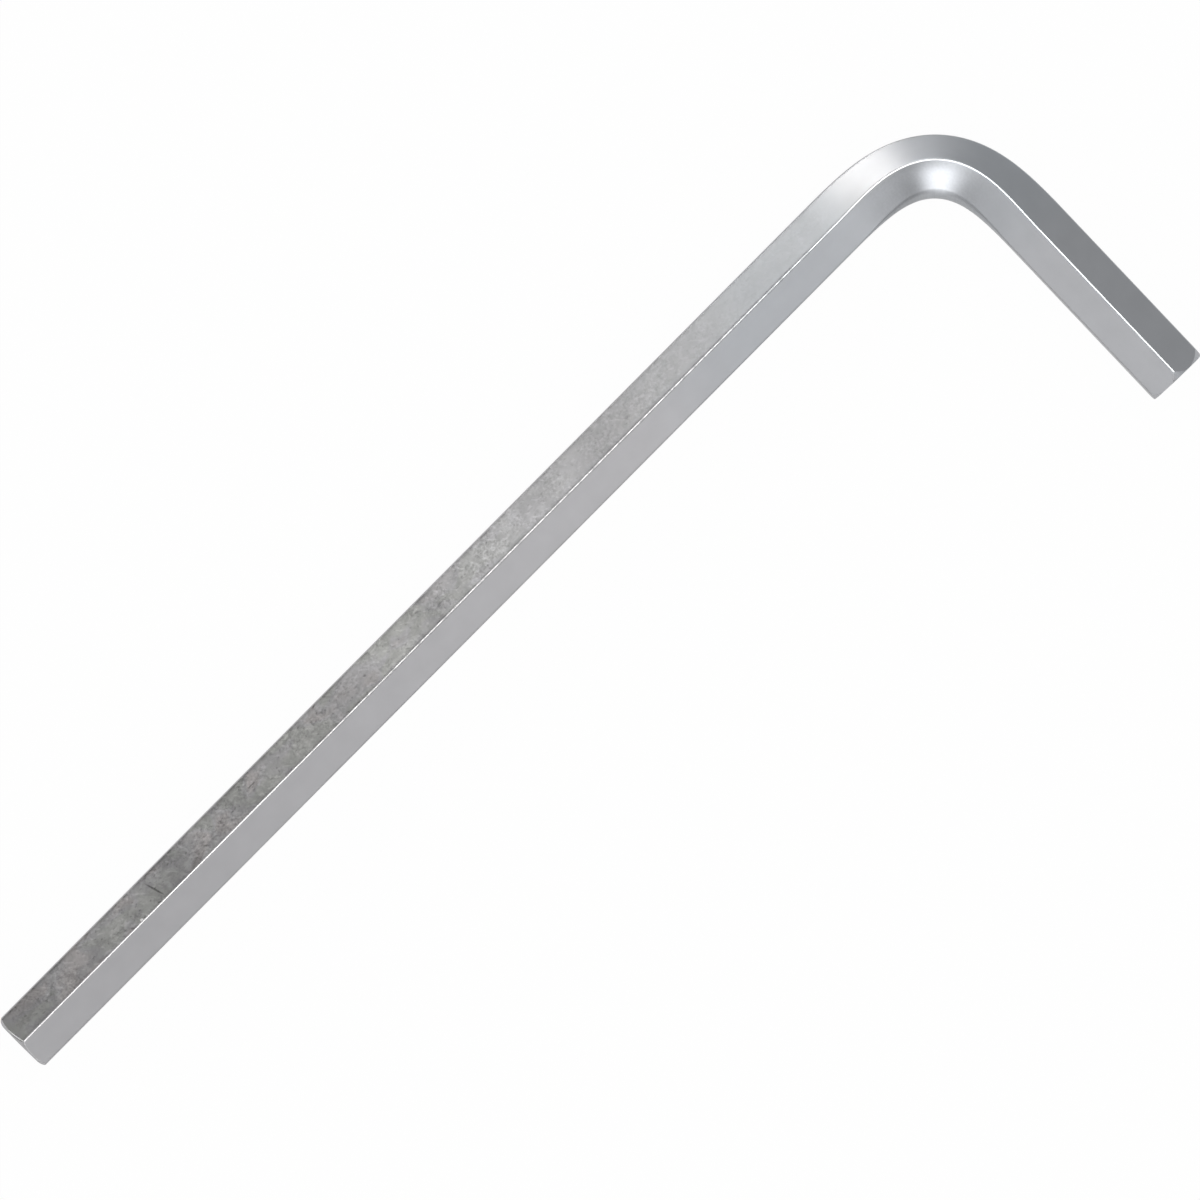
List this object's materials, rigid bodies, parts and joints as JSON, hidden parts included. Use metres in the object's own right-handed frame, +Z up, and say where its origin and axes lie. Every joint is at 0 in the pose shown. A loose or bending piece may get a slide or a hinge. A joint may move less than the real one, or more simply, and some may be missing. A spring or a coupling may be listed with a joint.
{
  "type": "hex key",
  "caption": "L-shaped hex key bent from hexagonal steel bar, with a long arm, a short arm and a chamfered drive tip on each.",
  "frame": {"origin": "middle of the key's box in plan, on the surface that its lower ridges lie on", "axes": "+X along the long arm from its tip to the bend, the short arm towards -Y, +Z up from the surface that the key lies on"},
  "size_m": [0.1448, 0.042, 0.008],
  "materials": {
    "satin_steel": "satin plated, mottled and lightly stained along one face of the long arm"
  },
  "bodies": {
    "root": {"hex_key": "satin_steel"}
  },
  "joints": []
}
